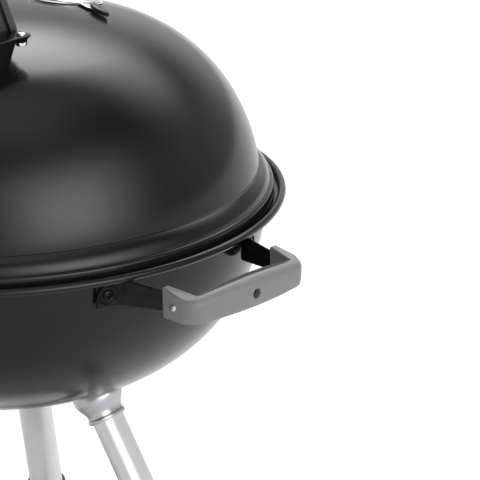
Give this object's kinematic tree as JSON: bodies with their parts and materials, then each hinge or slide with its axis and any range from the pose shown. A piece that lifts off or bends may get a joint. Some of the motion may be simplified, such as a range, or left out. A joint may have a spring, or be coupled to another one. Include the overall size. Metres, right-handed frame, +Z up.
{
  "type": "kettle charcoal grill",
  "caption": "Round kettle charcoal grill: domed enamel lid with turning vent, deep bowl, side handles, splayed tube legs, two wheels, ash pan and wire shelf.",
  "frame": {"origin": "on the ground, in the middle of the grill's footprint; the kettle's axis stands at x -11.3 mm, y +31 mm", "axes": "+Z up, +X towards the right side handle, -Y towards the front, where the lid's handle is"},
  "size_m": [0.7346, 0.7071, 0.959],
  "materials": {
    "black_enamel": "gloss",
    "black_steel": "satin",
    "grey_grip": "satin",
    "dark_grip": "satin",
    "vent_chrome": "polished",
    "zinc_steel": "satin",
    "cast_aluminium": "satin",
    "leg_aluminium": "satin",
    "black_plastic": "satin",
    "tyre_rubber": "matte",
    "grate_chrome": "polished",
    "raw_steel": "satin",
    "pan_aluminium": "satin"
  },
  "bodies": {
    "stand": {"bowl": "black_enamel", "side_handle_right_strap": "black_steel", "side_handle_right_grip": "grey_grip", "side_handle_right_grip_screws": "zinc_steel", "side_handle_right_foot_dishes": "black_steel", "side_handle_right_foot_screws": "zinc_steel", "side_handle_right_foot_nuts": "zinc_steel", "side_handle_left_strap": "black_steel", "side_handle_left_grip": "grey_grip", "side_handle_left_grip_screws": "zinc_steel", "side_handle_left_foot_dishes": "black_steel", "side_handle_left_foot_screws": "zinc_steel", "side_handle_left_foot_nuts": "zinc_steel", "leg_right": "leg_aluminium", "leg_socket_right": "cast_aluminium", "leg_back": "leg_aluminium", "leg_socket_back": "cast_aluminium", "leg_front": "leg_aluminium", "leg_socket_front": "cast_aluminium", "leg_socket_bolts": "zinc_steel", "leg_foot": "black_plastic", "axle": "zinc_steel", "axle_spacers": "black_plastic", "axle_caps": "black_plastic", "bottom_shelf": "black_steel", "bottom_shelf_clips": "black_plastic", "ash_pan_ring": "black_steel", "ash_pan_clips": "black_plastic", "cooking_grate_rests": "black_steel", "charcoal_grate_rests": "black_steel"},
    "lid": {"lid": "black_enamel", "lid_vent_rivet": "vent_chrome", "lid_handle_pedestals": "black_steel", "lid_handle_screws": "zinc_steel", "lid_handle_nuts": "zinc_steel", "lid_handle_grip": "dark_grip"},
    "lid_vent": {"lid_vent_disc": "vent_chrome", "lid_vent_tab": "dark_grip"},
    "cooking_grate": {"cooking_grate": "grate_chrome"},
    "charcoal_grate": {"charcoal_grate": "raw_steel"},
    "ash_pan": {"ash_pan": "pan_aluminium"},
    "ash_sweeper": {"ash_sweeper_blades": "raw_steel", "ash_sweeper_shaft": "zinc_steel", "ash_sweeper_nut": "zinc_steel", "ash_sweeper_lever": "raw_steel", "ash_sweeper_knob": "dark_grip"},
    "wheel_back": {"wheel_back": "black_plastic", "wheel_back_tyre": "tyre_rubber"},
    "wheel_front": {"wheel_front": "black_plastic", "wheel_front_tyre": "tyre_rubber"}
  },
  "joints": [
    {"name": "lid_lift", "type": "slide", "parent": "stand", "child": "lid", "axis": [0, 0, 1], "range_m": [0, 0.3]},
    {"name": "lid_vent_turn", "type": "hinge", "parent": "lid", "child": "lid_vent", "pos_m": [-0.0113, 0.123, 0.87611], "axis": [0, 0.2072, 0.9783], "range_deg": [0, 45]},
    {"name": "cooking_grate_lift", "type": "slide", "parent": "stand", "child": "cooking_grate", "axis": [0, 0, 1], "range_m": [0, 0.03]},
    {"name": "charcoal_grate_lift", "type": "slide", "parent": "stand", "child": "charcoal_grate", "axis": [0, 0, 1], "range_m": [0, 0.05]},
    {"name": "ash_pan_lift", "type": "slide", "parent": "stand", "child": "ash_pan", "axis": [0, 0, 1], "range_m": [0, 0.06]},
    {"name": "ash_sweeper_turn", "type": "hinge", "parent": "stand", "child": "ash_sweeper", "pos_m": [-0.0113, 0.031, 0.495], "axis": [0, 0, 1], "range_deg": [0, 60]},
    {"name": "wheel_back_spin", "type": "hinge", "parent": "stand", "child": "wheel_back", "pos_m": [-0.22415, 0.27585, 0.08], "axis": [0.1908, -0.9816, 0], "continuous": true},
    {"name": "wheel_front_spin", "type": "hinge", "parent": "stand", "child": "wheel_front", "pos_m": [-0.11692, -0.27576, 0.08], "axis": [0.1908, -0.9816, 0], "continuous": true}
  ]
}
